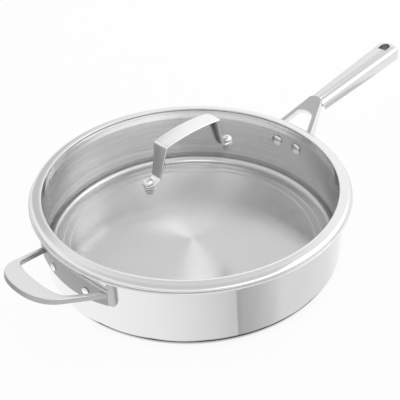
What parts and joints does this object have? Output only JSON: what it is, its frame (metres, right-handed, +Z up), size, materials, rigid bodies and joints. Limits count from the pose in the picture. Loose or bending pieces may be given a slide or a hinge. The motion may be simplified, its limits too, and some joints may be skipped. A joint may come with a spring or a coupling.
{
  "type": "saute pan with lid",
  "caption": "Straight-sided steel saute pan with a flared lip, a long riveted handle, a helper loop and a domed glass lid with a rolled steel rim and an arched strap handle.",
  "frame": {"origin": "centre of the pan's flat underside", "axes": "+Z up along the pan's axis, +X out along the long handle, -X out along the helper handle"},
  "size_m": [0.5524, 0.32, 0.1374],
  "materials": {
    "pan_steel": "stainless steel, brushed round the axis",
    "cast_steel": "cast stainless steel, satin",
    "satin_steel": "stainless steel, fine satin",
    "rim_steel": "stainless steel, polished",
    "polished_steel": "stainless steel, polished",
    "silicone": "translucent silicone",
    "lid_glass": "clear tempered glass"
  },
  "bodies": {
    "pan": {"pan_body": "pan_steel", "handle_fork": "cast_steel", "handle_grip": "satin_steel", "handle_rivet_left": "polished_steel", "handle_rivet_right": "polished_steel", "helper_handle": "cast_steel", "helper_rivet_left": "polished_steel", "helper_rivet_right": "polished_steel"},
    "lid": {"lid_glass": "lid_glass", "lid_rim": "rim_steel", "rim_bedding": "silicone", "lid_handle": "satin_steel", "lid_rivet_near": "polished_steel", "lid_rivet_far": "polished_steel", "upper_seal_near": "silicone", "upper_seal_far": "silicone", "lower_seal_near": "silicone", "lower_seal_far": "silicone", "backing_washer_near": "polished_steel", "backing_washer_far": "polished_steel"}
  },
  "joints": [
    {"name": "lid_lift", "type": "slide", "parent": "pan", "child": "lid", "axis": [0, 0, 1], "range_m": [0, 0.15]}
  ]
}
